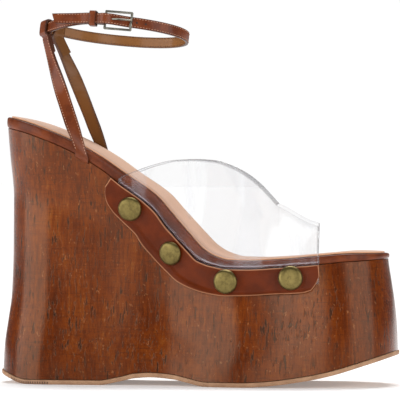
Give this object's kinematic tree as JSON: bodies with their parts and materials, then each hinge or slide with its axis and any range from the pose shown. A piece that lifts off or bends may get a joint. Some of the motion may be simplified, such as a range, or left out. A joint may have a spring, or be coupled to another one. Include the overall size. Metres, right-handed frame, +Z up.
{
  "type": "platform wedge sandal",
  "caption": "Platform wedge sandal with a cork-covered sole, clear open-toe vamp held by studded leather bands, and a buckled ankle strap on slings",
  "frame": {"origin": "middle of the heel's flat spot on the floor", "axes": "+X from heel to toe, +Y to the inner side of the foot, +Z up from the floor"},
  "size_m": [0.2371, 0.0976, 0.2211],
  "materials": {
    "outsole": "tan, satin, fine ribs under the heel",
    "cork": "lacquered saddle-brown cork with dark pores",
    "board_leather": "smooth brown leather wrap",
    "sock": "pinkish-tan lining leather",
    "clear": "clear flexible plastic",
    "band_leather": "smooth dark brown leather",
    "strap_leather": "reddish brown leather, stitched edges",
    "stud_metal": "antique brass",
    "buckle_metal": "dark gunmetal"
  },
  "bodies": {
    "root": {"outsole": "outsole", "cork_wedge": "cork", "insole_board": "board_leather", "sock_lining": "sock", "clear_vamp": "clear", "band_outer": "band_leather", "band_inner": "band_leather", "stud_outer_1": "stud_metal", "stud_outer_2": "stud_metal", "stud_outer_3": "stud_metal", "stud_outer_4": "stud_metal", "stud_inner_1": "stud_metal", "stud_inner_2": "stud_metal", "stud_inner_3": "stud_metal", "stud_inner_4": "stud_metal", "sling_outer": "strap_leather", "sling_inner": "strap_leather", "ankle_strap": "strap_leather", "strap_keeper": "strap_leather", "buckle_frame": "buckle_metal", "buckle_prong": "buckle_metal"}
  },
  "joints": []
}
